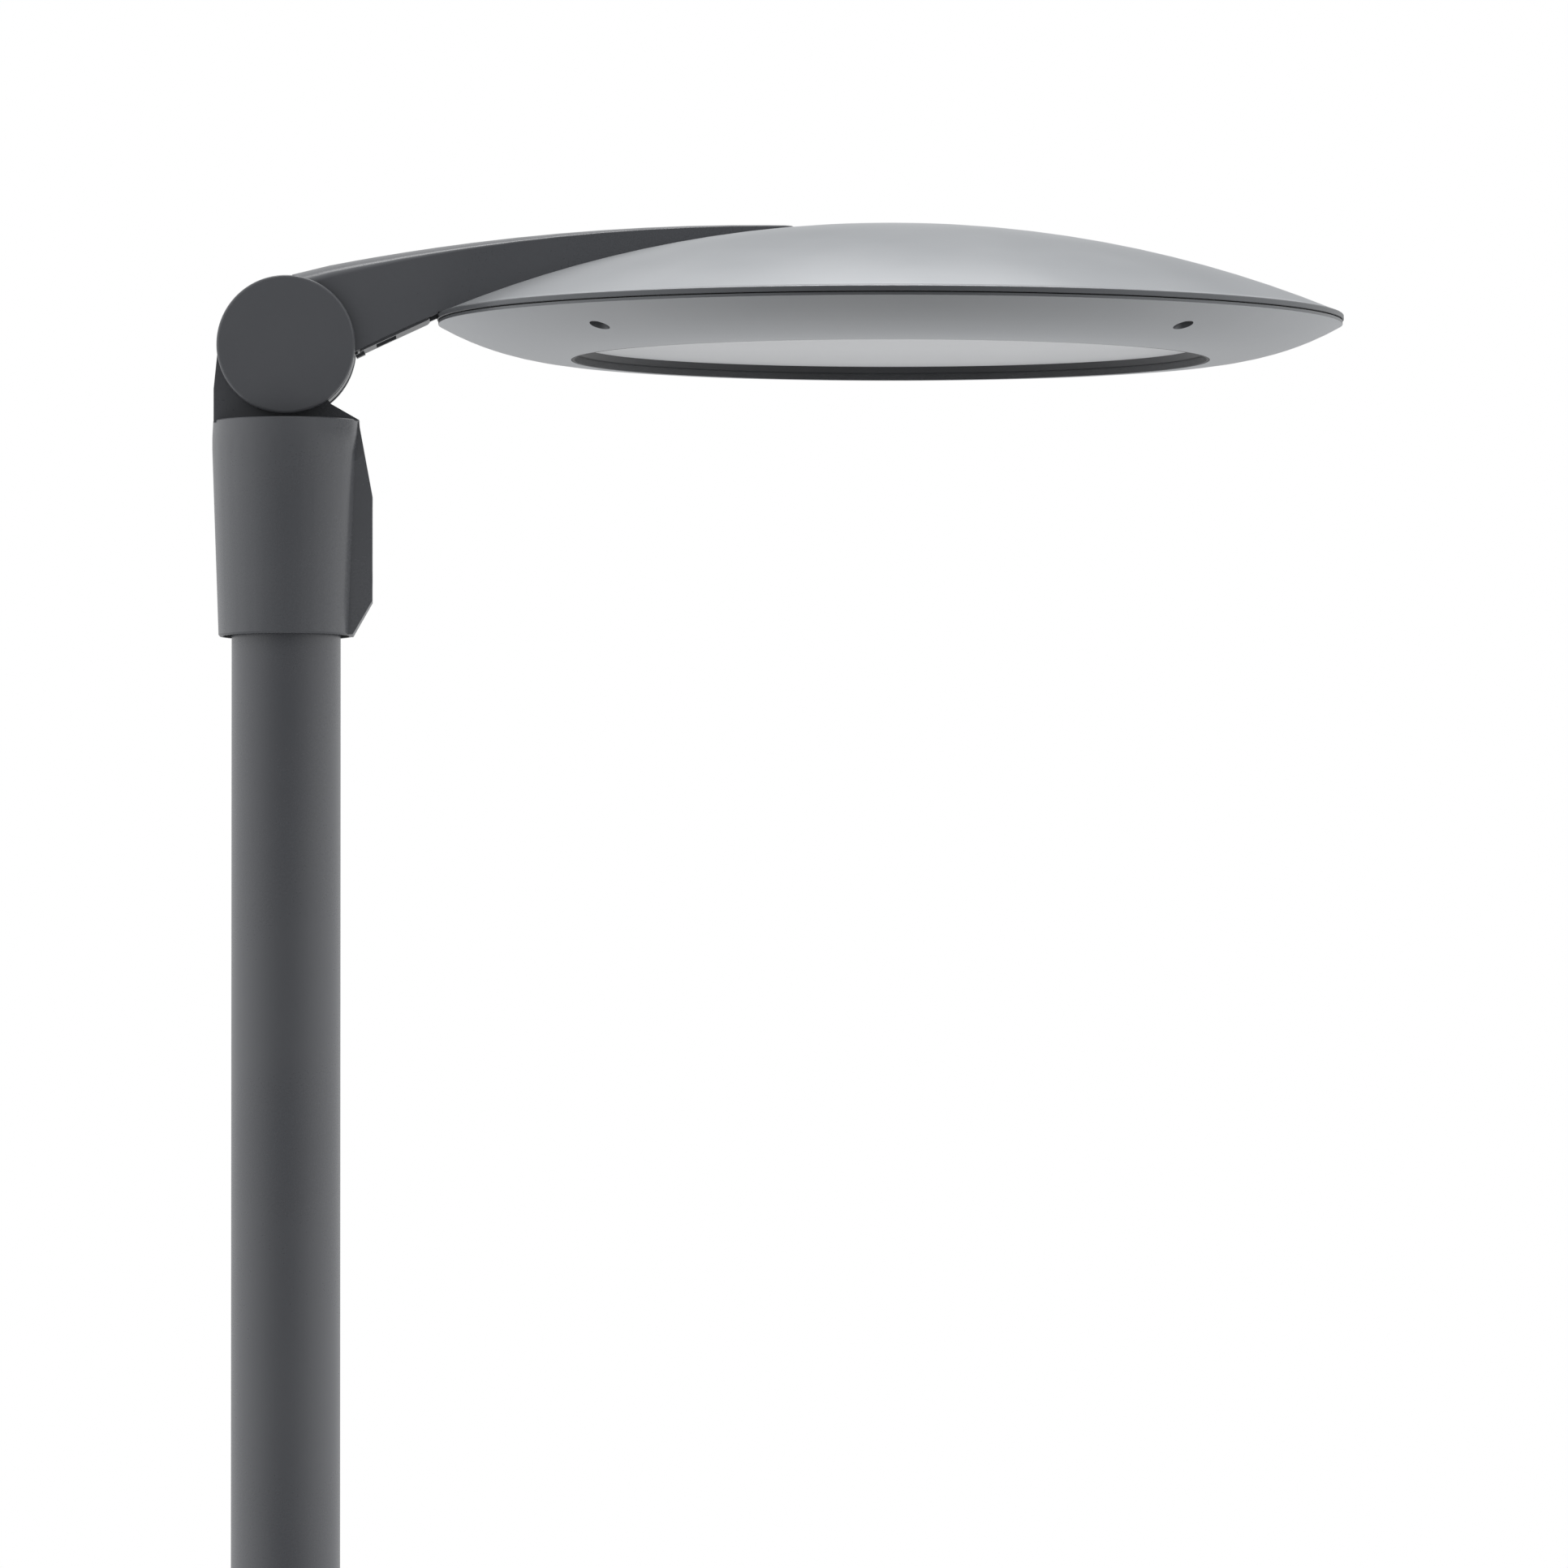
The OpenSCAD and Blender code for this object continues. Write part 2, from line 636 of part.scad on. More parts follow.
module led_board() color([0.92, 0.92, 0.9]) at_head() translate([0, 0, tray_z - 2]) difference() {
    cylinder(r = opening_r * 0.84, h = 2, $fn = FINE);
    for (a = [0 : 60 : 300]) rotate([0, 0, a]) translate([opening_r * 0.78, 0, -1])
        cylinder(r = 2, h = 4);
}

// places of the LEDs on the board: two rings
module led_places() {
    for (a = [0 : 30 : 330]) rotate([0, 0, a]) translate([opening_r * 0.66, 0, 0]) children();
    for (a = [0 : 60 : 300]) rotate([0, 0, a]) translate([opening_r * 0.34, 0, 0]) children();
}

module led_chips() color([0.95, 0.85, 0.35])
    at_head() led_places() translate([-3.5, -3.5, tray_z - 3.2]) cube([7, 7, 1.2]);

module lens_array() color([0.9, 0.93, 0.95, 0.5]) at_head() {
    difference() {
        translate([0, 0, tray_z - 8]) cylinder(r = opening_r * 0.84, h = 2.4, $fn = FINE);
        for (a = [0 : 60 : 300]) rotate([0, 0, a]) translate([opening_r * 0.78, 0, tray_z - 9])
            cylinder(r = 2, h = 5);
    }
    // standing rim that seats on the board
    difference() {
        translate([0, 0, tray_z - 6]) cylinder(r = opening_r * 0.84, h = 4, $fn = FINE);
        translate([0, 0, tray_z - 7]) cylinder(r = opening_r * 0.84 - 3, h = 6, $fn = FINE);
    }
    led_places() translate([0, 0, tray_z - 11]) cylinder(r = 9, h = 3.4);
}

module reflector_ring() color([0.9, 0.9, 0.9]) at_head() rotate_extrude($fn = FINE)
    polygon([[opening_r * 0.86, tray_z], [opening_r * 0.86, tray_z - 8],
        [opening_r - 12, glass_z + glass_t + 3.4], [opening_r - 9, glass_z + glass_t + 3.4],
        [opening_r * 0.86 + 2.5, tray_z - 8], [opening_r * 0.86 + 11, tray_z - 2],
        [opening_r * 0.86 + 11, tray_z]]);

module lower_frame() color([0.78, 0.79, 0.80]) {
    skin = 4.5;
    under_c = under_r - frame_depth;
    out_r = head_r - 0.8;
    at_head() difference() {
        union() {
            rotate_extrude($fn = FINE) difference() {
                intersection() {
                    translate([opening_r - 1.6, under_c]) circle(r = under_r, $fn = 720);
                    translate([opening_r, -frame_depth - 1]) square([out_r - opening_r, frame_depth + 0.6]);
                }
                intersection() {
                    translate([opening_r - 1.6, under_c]) circle(r = under_r - skin, $fn = 720);
                    translate([opening_r + 4, -frame_depth]) square([head_r - 6 - opening_r - 4, 40]);
                }
                translate([opening_r - 4, -frame_depth - 2])
                    polygon([[0, 0], [4, 2], [1.5, 7], [0, 7]]);
            }
            diagonals(screw_ring_r) intersection() {
                translate([0, 0, -20]) cylinder(r = 11, h = 19.6);
                rotate([0, 0, 0]) translate([-screw_ring_r, 0, 0]) rotate_extrude($fn = FINE)
                    intersection() {
                        translate([opening_r - 1.6, under_c]) circle(r = under_r - 1, $fn = 720);
                        translate([opening_r, -frame_depth]) square([head_r - opening_r - 4, 30]);
                    }
            }
        }
        // recessed screw seats
        diagonals(screw_ring_r) {
            translate([0, 0, -40]) cylinder(r = 7, h = 35.5);
            translate([0, 0, -10]) cylinder(r = 3.1, h = 20);
        }
    }
}

module frame_seal() color([0.07, 0.07, 0.07]) at_head()
    tube(head_r - 4.4, 3.2, 0.8, -0.4);

module frame_screws() color([0.45, 0.45, 0.47]) at_head() diagonals(screw_ring_r)
    translate([0, 0, -4.5]) {
        cylinder(r = 2.95, h = 12);
        translate([0, 0, -9]) difference() {
            cylinder(r = 6.6, h = 9);
            translate([0, 0, -1]) cylinder(r = 3, h = 5, $fn = 6);
        }
    }

// dark ring that lines the opening and carries the glass
module glass_ring() color([0.16, 0.17, 0.18]) at_head() rotate_extrude($fn = FINE)
    polygon([[opening_r - GAP, -frame_depth + SEAT], [opening_r - 2.3, -frame_depth + SEAT],
        [opening_r - 2.3, glass_z - 4.6], [opening_r - 4.4, glass_z - 4],
        [opening_r - 8.6, glass_z], [opening_r - GAP, glass_z]]);

module glass() color([0.86, 0.88, 0.9, 0.6]) at_head()
    translate([0, 0, glass_z]) cylinder(r = opening_r - 5, h = glass_t, $fn = FINE);

module glass_seal() color([0.07, 0.07, 0.07]) at_head()
    tube(opening_r - 6, 5, 2.4, glass_z + glass_t);

module glass_clips() color([0.6, 0.6, 0.62]) at_head()
    for (a = [0 : 45 : 315]) rotate([0, 0, a + 22.5])
        translate([opening_r - 10, -6, glass_z + glass_t + 2.4]) difference() {
            cube([10 - GAP, 12, 7]);
            translate([-1, -1, 1]) cube([9, 14, 7]);
        }

base_plate();
base_gussets();
lower_tube();
shoulder_collar();
centring_ring();
upper_tube();
door_frame();
access_door();
door_lock();
fuse_board();
fuse_box();
earth_stud();
spigot_sleeve();
spigot_liner();
clamp_screws();
friction_discs();
arm_casting();
arm_gasket();
arm_cover();
cover_pins();
pivot_bolt();
pivot_nut();
joint_cap_front();
joint_cap_rear();
cap_seals();
top_cover();
arm_bolts();
cable_gland();
gear_tray();
tray_screws();
led_driver();
surge_protector();
terminal_block();
led_board();
led_chips();
lens_array();
reflector_ring();
lower_frame();
frame_seal();
frame_screws();
glass_ring();
glass();
glass_seal();
glass_clips();
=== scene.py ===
import json
from math import atan2, exp, radians, sqrt

import bpy
import bmesh
from mathutils import Matrix, Vector


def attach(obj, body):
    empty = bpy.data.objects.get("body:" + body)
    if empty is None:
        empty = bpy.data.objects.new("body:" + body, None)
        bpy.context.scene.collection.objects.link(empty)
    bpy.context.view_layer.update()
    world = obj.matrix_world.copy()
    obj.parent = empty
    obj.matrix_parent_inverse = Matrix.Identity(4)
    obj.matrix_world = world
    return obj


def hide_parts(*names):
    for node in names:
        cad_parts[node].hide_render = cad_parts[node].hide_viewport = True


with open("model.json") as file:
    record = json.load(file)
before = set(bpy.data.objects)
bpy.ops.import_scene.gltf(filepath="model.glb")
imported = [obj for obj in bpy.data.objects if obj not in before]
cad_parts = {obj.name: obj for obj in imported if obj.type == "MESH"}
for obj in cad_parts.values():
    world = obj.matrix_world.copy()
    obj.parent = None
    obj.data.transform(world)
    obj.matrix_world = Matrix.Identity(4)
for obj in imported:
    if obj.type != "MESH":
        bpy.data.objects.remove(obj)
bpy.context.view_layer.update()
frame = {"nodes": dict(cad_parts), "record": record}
nodes = frame["nodes"]
slots = {part["node"]: part["material_slot"] for part in frame["record"]["subparts"]}
print("frame loaded:", len(nodes), "nodes")


class Wire:
    # a node socket that takes part in ordinary sums
    def __init__(self, sheet, socket):
        self.sheet = sheet
        self.socket = socket

    def sum(self, kind, a, b):
        return self.sheet.add("ShaderNodeMath", {"operation": kind}, [a, b])

    def __add__(self, other): return self.sum("ADD", self, other)
    def __radd__(self, other): return self.sum("ADD", other, self)
    def __sub__(self, other): return self.sum("SUBTRACT", self, other)
    def __rsub__(self, other): return self.sum("SUBTRACT", other, self)
    def __mul__(self, other): return self.sum("MULTIPLY", self, other)
    def __pow__(self, other): return self.sum("POWER", self, other)


class Sheet:
    # one material's node sheet
    def __init__(self, name):
        self.material = bpy.data.materials.new(name)
        self.material.use_nodes = True
        self.tree = self.material.node_tree
        self.surface = self.tree.nodes["Principled BSDF"]

    def plug(self, socket, value):
        if isinstance(value, Wire):
            self.tree.links.new(value.socket, socket)
        elif value is not None:
            socket.default_value = value

    def add(self, kind, settings=None, values=(), out=0):
        node = self.tree.nodes.new(kind)
        for key, setting in (settings or {}).items():
            setattr(node, key, setting)
        if isinstance(values, dict):
            for key, value in values.items():
                self.plug(node.inputs[key], value)
        else:
            for i, value in enumerate(values):
                self.plug(node.inputs[i], value)
        return Wire(self, node.outputs[out])

    def place(self):
        return self.add("ShaderNodeTexCoord", out="Object")

    def noise(self, where, scale, detail=3.0, rough=0.5):
        return self.add("ShaderNodeTexNoise", None,
                        {"Vector": where, "Scale": scale, "Detail": detail, "Roughness": rough})

    def stretch(self, where, amount):
        return self.add("ShaderNodeVectorMath", {"operation": "MULTIPLY"}, [where, amount])

    def blend(self, factor, a, b):
        node = self.tree.nodes.new("ShaderNodeMix")
        node.data_type = "RGBA"
        self.plug(node.inputs[0], factor)
        self.plug(node.inputs[6], a)
        self.plug(node.inputs[7], b)
        return Wire(self, node.outputs[2])

    def clip(self, value, low, high):
        return self.add("ShaderNodeMapRange", {"clamp": True},
                        {"Value": value, "From Min": low, "From Max": high})

    def bump(self, height, depth, strength=1.0):
        return self.add("ShaderNodeBump", None,
                        {"Height": height, "Distance": depth, "Strength": strength})

    def set(self, **values):
        for key, value in values.items():
            self.plug(self.surface.inputs[key.replace("_", " ")], value)
        return self.material


def colour(r, g, b):
    return (r, g, b, 1.0)


anthracite = {
    "colour": (0.101, 0.1045, 0.114),
    "light": (0.111, 0.115, 0.124),
    "rough": 0.28,
    "peel": 0.000022,   # depth of the powder coat's skin, metres
    "peelScale": 420.0,
    "dust": 0.03,      # how far dust specks pale the coat
}


def powderCoat(name, look):
    s = Sheet(name)
    where = s.place()
    cloud = s.noise(where, 9.0, 4.0)
    skin = s.noise(where, look["peelScale"], 2.0)
    speck = s.clip(s.noise(where, 1500.0, 1.0), 0.62, 0.78)
    tone = s.blend(s.clip(cloud, 0.35, 0.65), colour(*look["colour"]), colour(*look["light"]))
    tone = s.blend(speck * look["dust"], tone, colour(0.35, 0.35, 0.35))
    rough = look["rough"] + (cloud - 0.5) * 0.10 + (skin - 0.5) * 0.05
    return s.set(Base_Color=tone, Roughness=rough, Normal=s.bump(skin, look["peel"]))


# the round head's axis, seam and dome
head = {"x": 0.421, "seamZ": 4.0, "radius": 0.316, "rimZ": 0.0051, "domeR": 0.82028, "domeZ": -0.75328}

domeSilver = {
    "colour": (0.62, 0.635, 0.65),
    "light": (0.67, 0.682, 0.695),
    "edge": (0.55, 0.56, 0.57),    # tone at a glancing view
    "rough": 0.30,
    "metal": 0.96,
    "peel": 0.00002,
    "rim": (0.122, 0.127, 0.134),  # dark paint round the rim; the same colour is the painted shade in the screws' seats
    "rimFrom": 0.3150,             # distance from the head's axis where it starts
}
frameSilver = {**domeSilver, "colour": (0.72, 0.735, 0.75), "light": (0.76, 0.772, 0.785),
               "edge": (0.98, 0.99, 1.0), "rimFrom": 0.3148,
               "screwRing": 0.285,    # radius the frame's screws stand on
               "seatShadeRadius": 0.0071}   # radius of the painted shade in the recessed seat round each


def rimPaintAndSeatShade(s, where, look):
    # 0 on the silver, 1 on the head's dark-painted rim and, as painted shade, in the screws' recessed seats
    apart = s.add("ShaderNodeVectorMath", {"operation": "SUBTRACT"}, [where, (head["x"], 0.0, 0.0)])
    flat = s.stretch(apart, (1.0, 1.0, 0.0))
    reach = s.add("ShaderNodeVectorMath", {"operation": "LENGTH"}, [flat], out="Value")
    rim = s.clip(reach, look["rimFrom"], look["rimFrom"] + 0.0003)
    if "screwRing" not in look:
        return rim
    # one quarter of the ring stands for all four
    quarter = s.add("ShaderNodeVectorMath", {"operation": "ABSOLUTE"}, [flat])
    side = look["screwRing"] * sqrt(0.5)
    offset = s.add("ShaderNodeVectorMath", {"operation": "SUBTRACT"}, [quarter, (side, side, 0.0)])
    away = s.add("ShaderNodeVectorMath", {"operation": "LENGTH"}, [offset], out="Value")
    # painted shade: each screw's recessed seat is darkened in the colour
    seat = 1.0 - s.clip(away, look["seatShadeRadius"] - 0.0001, look["seatShadeRadius"] + 0.0001)
    return rim.sum("MAXIMUM", rim, seat)


def silverCoat(name, look):
    s = Sheet(name)
    where = s.place()
    dark = rimPaintAndSeatShade(s, where, look)
    cloud = s.noise(where, 6.0, 3.0)
    skin = s.noise(where, 380.0, 2.0)
    flake = s.clip(s.noise(where, 2400.0, 1.0), 0.5, 0.8)
    tone = s.blend(s.clip(cloud, 0.35, 0.65), colour(*look["colour"]), colour(*look["light"]))
    tone = s.blend(flake * 0.10, tone, colour(0.85, 0.86, 0.87))
    # the dark rim paint, and painted shade in the screws' recessed seats
    tone = s.blend(dark, tone, colour(*look["rim"]))
    rough = look["rough"] + (cloud - 0.5) * 0.08
    metal = (look["metal"] + (flake - 0.5) * 0.08) * (1.0 - dark * 0.8)
    s.set(Specular_Tint=colour(*look["edge"]))
    return s.set(Base_Color=tone, Roughness=rough, Metallic=metal, Normal=s.bump(skin, look["peel"]))


steelLook = {"colour": (0.50, 0.50, 0.51), "rough": 0.30, "grain": 900.0}


def turnedSteel(name, look):
    s = Sheet(name)
    where = s.place()
    grain = s.noise(s.stretch(where, (1.0, 1.0, 0.15)), look["grain"], 2.0)
    smear = s.noise(where, 60.0, 3.0)
    base = look["colour"]
    tone = s.blend(s.clip(smear, 0.3, 0.7), colour(*base), colour(*[c * 0.8 for c in base]))
    rough = look["rough"] + (grain - 0.5) * 0.2 + (smear - 0.5) * 0.12
    return s.set(Base_Color=tone, Roughness=rough, Metallic=1.0, Normal=s.bump(grain, 0.00002))


zincLook = {"dark": (0.36, 0.37, 0.38), "pale": (0.55, 0.56, 0.57)}


def spangledZinc(name, look):
    s = Sheet(name)
    where = s.place()
    spangle = s.add("ShaderNodeTexVoronoi", {"feature": "F1"}, {"Vector": where, "Scale": 110.0},
                    out="Color")
    grey = s.add("ShaderNodeRGBToBW", None, [spangle])
    smear = s.noise(where, 25.0, 4.0)
    tone = s.blend(grey, colour(*look["dark"]), colour(*look["pale"]))
    rough = 0.38 + grey * 0.12 + (smear - 0.5) * 0.15
    return s.set(Base_Color=tone, Roughness=rough, Metallic=0.9, Normal=s.bump(smear, 0.00008))


def millAluminium(name):
    s = Sheet(name)
    where = s.place()
    rolling = s.noise(s.stretch(where, (1.0, 14.0, 1.0)), 45.0, 4.0)
    smear = s.noise(where, 18.0, 3.0)
    tone = s.blend(rolling, colour(0.62, 0.63, 0.64), colour(0.76, 0.77, 0.78))
    return s.set(Base_Color=tone, Roughness=0.34 + (smear - 0.5) * 0.2, Metallic=1.0,
                 Normal=s.bump(rolling, 0.00002))


def studBrass(name):
    s = Sheet(name)
    where = s.place()
    tarnish = s.noise(where, 90.0, 4.0)
    tone = s.blend(s.clip(tarnish, 0.4, 0.75), colour(0.72, 0.53, 0.22), colour(0.38, 0.25, 0.10))
    return s.set(Base_Color=tone, Roughness=0.3 + tarnish * 0.25, Metallic=1.0,
                 Normal=s.bump(tarnish, 0.00003))


def moulded(name, base, rough, depth=0.00005, scale=600.0, coat=0.0):
    s = Sheet(name)
    where = s.place()
    grain = s.noise(where, scale, 2.0)
    cloud = s.noise(where, 20.0, 3.0)
    tone = s.blend(cloud, colour(*[c * 0.88 for c in base]), colour(*[min(1.0, c * 1.1) for c in base]))
    return s.set(Base_Color=tone, Roughness=rough + (cloud - 0.5) * 0.12, Coat_Weight=coat,
                 Normal=s.bump(grain, depth))


def solderMask(name):
    s = Sheet(name)
    where = s.place()
    tracks = s.add("ShaderNodeTexBrick", {"offset": 0.5},
                   {"Vector": where, "Scale": 28.0, "Color1": colour(0.84, 0.85, 0.83),
                    "Color2": colour(0.80, 0.81, 0.80), "Mortar": colour(0.70, 0.72, 0.70),
                    "Mortar Size": 0.03})
    cloud = s.noise(where, 40.0)
    return s.set(Base_Color=tracks, Roughness=0.32 + cloud * 0.12, Normal=s.bump(cloud, 0.00003))


def phosphor(name):
    s = Sheet(name)
    where = s.place()
    grain = s.noise(where, 1200.0)
    tone = s.blend(grain, colour(0.92, 0.72, 0.18), colour(0.95, 0.83, 0.40))
    return s.set(Base_Color=tone, Roughness=0.5 + (grain - 0.5) * 0.2, Normal=s.bump(grain, 0.00002))


def clearPlastic(name):
    s = Sheet(name)
    where = s.place()
    cloud = s.noise(where, 30.0)
    s.set(Transmission_Weight=0.85, IOR=1.49)
    return s.set(Base_Color=s.blend(cloud, colour(0.90, 0.93, 0.95), colour(0.96, 0.97, 0.98)),
                 Roughness=0.06 + cloud * 0.05, Normal=s.bump(cloud, 0.00002))


opalLook = {"colour": (0.84, 0.85, 0.86), "edge": (0.88, 0.89, 0.90), "rough": 0.45}


def opalGlass(name, look):
    s = Sheet(name)
    where = s.place()
    cloud = s.noise(where, 7.0, 3.0)
    frost = s.noise(where, 1800.0, 1.0)
    tone = s.blend(cloud, colour(*look["colour"]), colour(*look["edge"]))
    s.set(Transmission_Weight=0.06, IOR=1.5, Specular_IOR_Level=0.15, Coat_Roughness=0.1)
    return s.set(Base_Color=tone, Roughness=look["rough"] + (frost - 0.5) * 0.06,
                 Coat_Weight=0.08 + (cloud - 0.5) * 0.02, Normal=s.bump(cloud, 0.00003))


finishes = {
    "post_paint": powderCoat("postPaint", anthracite),
    "joint_paint": powderCoat("jointPaint", {**anthracite, "colour": (0.106, 0.110, 0.1195),
                                             "light": (0.117, 0.121, 0.130)}),
    "cover_paint": powderCoat("coverPaint", {**anthracite, "colour": (0.080, 0.083, 0.090)}),
    "silver_paint": silverCoat("domeSilver", domeSilver),
    "frame_silver": silverCoat("frameSilver", frameSilver),
    "ring_grey": powderCoat("ringGrey", {**anthracite, "colour": (0.040, 0.042, 0.045),
                                         "light": (0.046, 0.048, 0.052), "rough": 0.4}),
    "stainless": turnedSteel("stainlessSteel", steelLook),
    "black_steel": moulded("blackenedSteel", (0.020, 0.020, 0.022), 0.40, 0.00002, 700.0),
    "galvanised": spangledZinc("zincCoat", zincLook),
    "plain_aluminium": millAluminium("millAluminium"),
    "brass_stud": studBrass("studBrass"),
    "grey_plastic": moulded("greyPlastic", (0.45, 0.46, 0.47), 0.5),
    "black_plastic": moulded("blackPlastic", (0.022, 0.022, 0.024), 0.45),
    "friction_lining": moulded("frictionLining", (0.07, 0.06, 0.055), 0.8, 0.0002, 350.0),
    "white_case": moulded("whiteCase", (0.74, 0.74, 0.70), 0.42),
    "board_white": solderMask("boardWhite"),
    "led_phosphor": phosphor("ledPhosphor"),
    "clear_lens": clearPlastic("clearLens"),
    "reflector_white": moulded("reflectorWhite", (0.82, 0.82, 0.82), 0.22, 0.00003, 500.0, 0.3),
    "seal_rubber": moulded("sealRubber", (0.015, 0.015, 0.016), 0.7, 0.0001, 500.0),
    "opal_glass": opalGlass("opalGlass", opalLook),
}


def finishNodes():
    for name, obj in nodes.items():
        finish = finishes[slots[name]]
        if not obj.material_slots:
            obj.data.materials.append(finish)
        for place in obj.material_slots:
            place.material = finish
    print("finishes laid on", len(nodes), "nodes")


def ready(piece):
    # the one piece selected and active
    bpy.ops.object.select_all(action="DESELECT")
    piece.select_set(True)
    bpy.context.view_layer.objects.active = piece


def openMesh(piece):
    ready(piece)
    bpy.ops.object.mode_set(mode="EDIT")
    bpy.ops.mesh.select_mode(type="VERT")


def closeMesh():
    bpy.ops.object.mode_set(mode="OBJECT")


def pick(wanted):
    # selects the open mesh's corners that pass the test
    bpy.ops.mesh.select_all(action="DESELECT")
    mesh = bmesh.from_edit_mesh(bpy.context.object.data)
    for corner in mesh.verts:
        corner.select = wanted(corner.co)
    mesh.select_flush(True)
    bmesh.update_edit_mesh(bpy.context.object.data)


def shift(x, y, z):
    bpy.ops.transform.translate(value=(x, y, z))


def stretch(scale, centre):
    bpy.ops.transform.resize(value=scale, center_override=centre)


def settle(name):
    # names the new piece and leaves its place and turn in the mesh
    piece = bpy.context.object
    piece.name = name
    piece.data.name = name
    bpy.ops.object.transform_apply(location=True, rotation=True, scale=True)
    return piece


def rod(name, radius, depth, place, sides=160):
    # a round bar lying along Y
    bpy.ops.mesh.primitive_cylinder_add(vertices=sides, radius=radius, depth=depth,
                                        location=place, rotation=(radians(90.0), 0.0, 0.0))
    return settle(name)


def brick(name, size, place, tilt=0.0):
    bpy.ops.mesh.primitive_cube_add(size=1.0, location=place, rotation=(0.0, tilt, 0.0), scale=size)
    return settle(name)


def combine(piece, tool, how):
    ready(piece)
    bpy.ops.object.modifier_add(type="BOOLEAN")
    change = piece.modifiers[-1]
    change.operation = how
    change.solver = "EXACT"
    change.object = tool
    bpy.ops.object.modifier_apply(modifier=change.name)
    bpy.data.objects.remove(tool, do_unlink=True)


def smoothOff(piece, sharp):
    ready(piece)
    bpy.ops.object.shade_smooth_by_angle(angle=radians(sharp))
    bpy.ops.object.modifier_add(type="WEIGHTED_NORMAL")
    piece.modifiers[-1].keep_sharp = True
    bpy.ops.object.modifier_apply(modifier=piece.modifiers[-1].name)


def standIn(piece, node, body):
    # the piece takes the node's place and finish
    piece.data.materials.clear()
    piece.data.materials.append(finishes[slots[node]])
    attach(piece, body)
    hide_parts(node)


# the arm: a crowned bar swept along a shallow arc, on a round barrel at the joint
arm = {
    "halfWidth": 0.0265,
    "jointZ": 3.982,
    "jointR": 0.0483,
    "rootDrop": 0.0062,    # underside's start, below the joint's axis
    "slopeEnd": 0.1057,    # where the underside meets the head's rim
    "slopeRise": 0.0205,
    "arcX": 0.33252,
    "arcZ": 2.46920,
    "arcR": 1.59724,
    "crown": 0.0125,       # rise of the crowned top at the joint
    "crownFade": 0.185,    # length over which the crown falls away
    "lift": 0.0013,        # the crown's bulge over the plain arc
    "liftRamp": 0.030,     # length over which the bulge sets in
    "nose": 0.004,         # length of the tip's turned-down nose
    "noseDrop": 0.0011,
    "slot": 0.0286,        # width of the tongue's slot
    "slotR": 0.0498,
    "slotSize": (0.084, 0.080),     # the slot's length and height behind the joint
    "slotPlace": (-0.038, 0.040),   # its middle, from the joint's axis
    "boreR": 0.00705,
    "boreLength": 0.060,
    "seatR": 0.016,
    "seatDepth": 0.014,
    "wall": 0.0045,
    "hollow": (0.0583, 0.1057, 0.16, 0.22, 0.2745),
    "hollowDrop": 0.004,   # how far the hollow passes through the underside
    "coverSize": (0.0546, 0.0474, 0.0036),
    "coverPlace": (0.0319, 0.0, 0.0008),   # along the slope and up from it
    "headGap": 0.0003,     # clearance round the head's rim and dome
    "stations": (-0.006, 0.010, 0.030, 0.0479, 0.062, 0.084, 0.1057, 0.130, 0.160, 0.190,
                 0.220, 0.250, 0.280, 0.310, 0.335, 0.348, 0.352, 0.354),
}
near = 0.00001


def armTop(x):
    tip = arm["stations"][-1]
    lift = arm["lift"] * min(1.0, max(0.0, x) / arm["liftRamp"]) * (1.0 - (x / tip) ** 2)
    nose = max(0.0, x - tip + arm["nose"]) / arm["nose"]
    arc = arm["arcZ"] + sqrt(arm["arcR"] ** 2 - (x - arm["arcX"]) ** 2)
    return arc + lift - arm["noseDrop"] * nose * nose


def armCrown(x):
    return arm["crown"] * exp(-max(x, 0.0) / arm["crownFade"])


def slopeStart():
    return sqrt(arm["jointR"] ** 2 - arm["rootDrop"] ** 2)


def armUnder(x):
    rootX = slopeStart()
    along = min(1.0, max(0.0, (x - rootX) / (arm["slopeEnd"] - rootX)))
    return arm["jointZ"] - arm["rootDrop"] + along * (arm["slopeRise"] + arm["rootDrop"])


def sweepArm(name, half, stations, shoulder, under):
    # a bar with an arched top: its end face is drawn out from station to station
    first = stations[0]
    bpy.ops.mesh.primitive_circle_add(vertices=64, radius=half, fill_type="NOTHING",
                                      location=(first, 0.0, shoulder(first)),
                                      rotation=(0.0, radians(90.0), 0.0))
    bar = settle(name)
    openMesh(bar)
    pick(lambda c: c.z < shoulder(first) - near)
    bpy.ops.mesh.delete(type="VERT")
    pick(lambda c: c.z > shoulder(first) + near)
    stretch((1.0, 1.0, armCrown(first) / half), (first, 0.0, shoulder(first)))
    pick(lambda c: abs(c.z - shoulder(first)) < near)
    bpy.ops.mesh.extrude_vertices_move(
        TRANSFORM_OT_translate={"value": (0.0, 0.0, under(first) - shoulder(first))})
    bpy.ops.mesh.select_all(action="SELECT")
    bpy.ops.mesh.edge_face_add()
    for here, there in zip(stations, stations[1:]):
        rise = shoulder(there) - shoulder(here)
        pick(lambda c: c.x > here - near)
        bpy.ops.mesh.extrude_region_move(
            TRANSFORM_OT_translate={"value": (there - here, 0.0, rise)})
        pick(lambda c: c.x > there - near and c.z > shoulder(there) + near)
        stretch((1.0, 1.0, armCrown(there) / armCrown(here)), (there, 0.0, shoulder(there)))
        pick(lambda c: c.x > there - near and c.z < shoulder(there) - near)
        shift(0.0, 0.0, under(there) - under(here) - rise)
    bpy.ops.mesh.select_all(action="SELECT")
    bpy.ops.mesh.normals_make_consistent(inside=False)
    closeMesh()
    return bar


